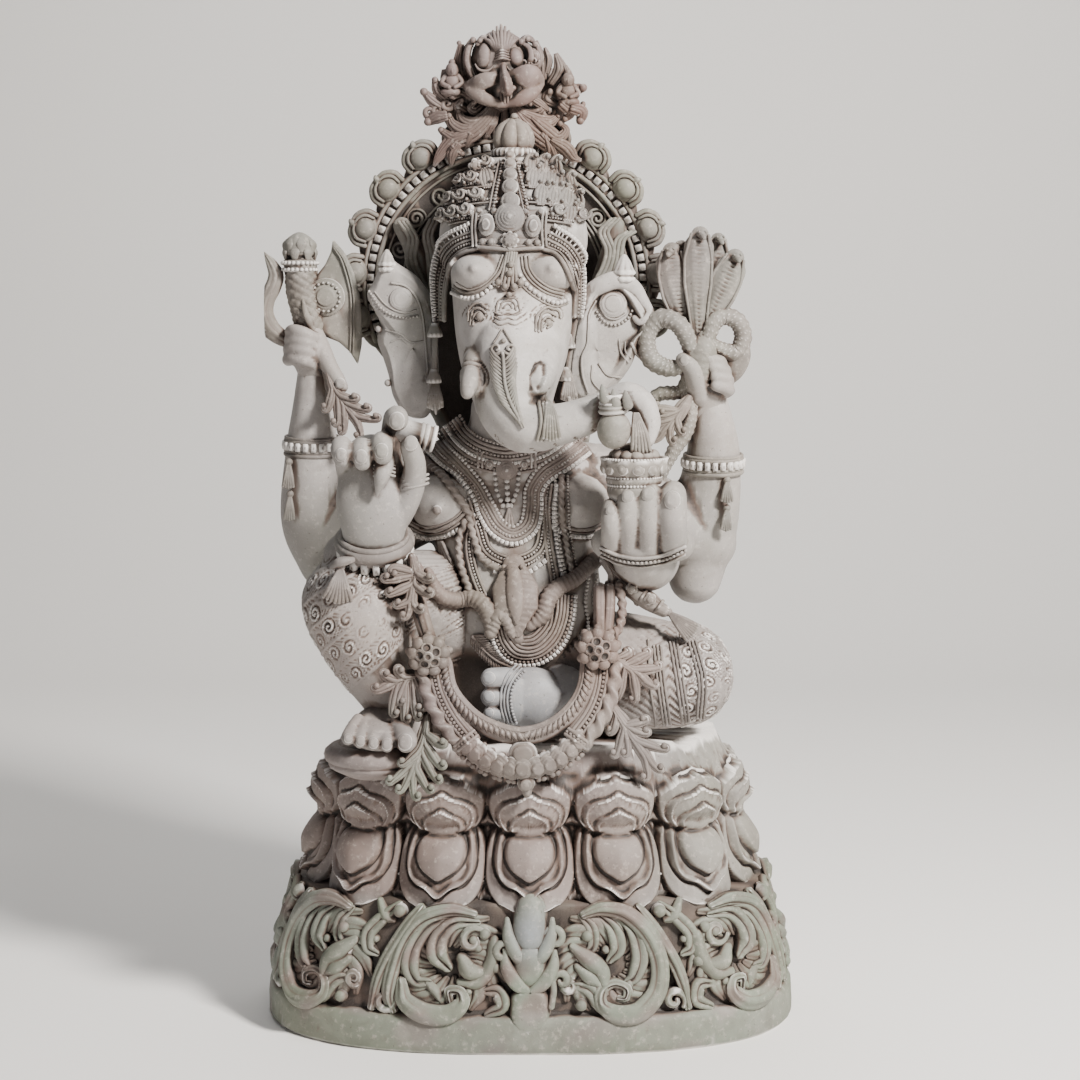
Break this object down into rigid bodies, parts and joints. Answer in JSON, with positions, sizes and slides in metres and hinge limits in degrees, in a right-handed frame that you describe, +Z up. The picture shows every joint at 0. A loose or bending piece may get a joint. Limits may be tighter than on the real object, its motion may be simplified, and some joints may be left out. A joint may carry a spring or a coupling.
{
  "type": "carved stone seated elephant-headed figure on a lotus plinth",
  "caption": "Soapstone carving of a four-armed elephant-headed figure seated on a double lotus and scrolled oval plinth before a petalled arch with a lion mask.",
  "frame": {"origin": "middle of the plinth's flat underside", "axes": "+Z up, the figure faces -Y, and the viewer who faces it has +X on the right"},
  "size_m": [0.648, 0.4, 1.2],
  "materials": {
    "soapstone": "matt hand-carved soapstone, warm grey with rose patches and a pale green foot, brown dust in the hollows and pale worn edges"
  },
  "bodies": {
    "root": {"ganesha_statue": "soapstone"}
  },
  "joints": []
}
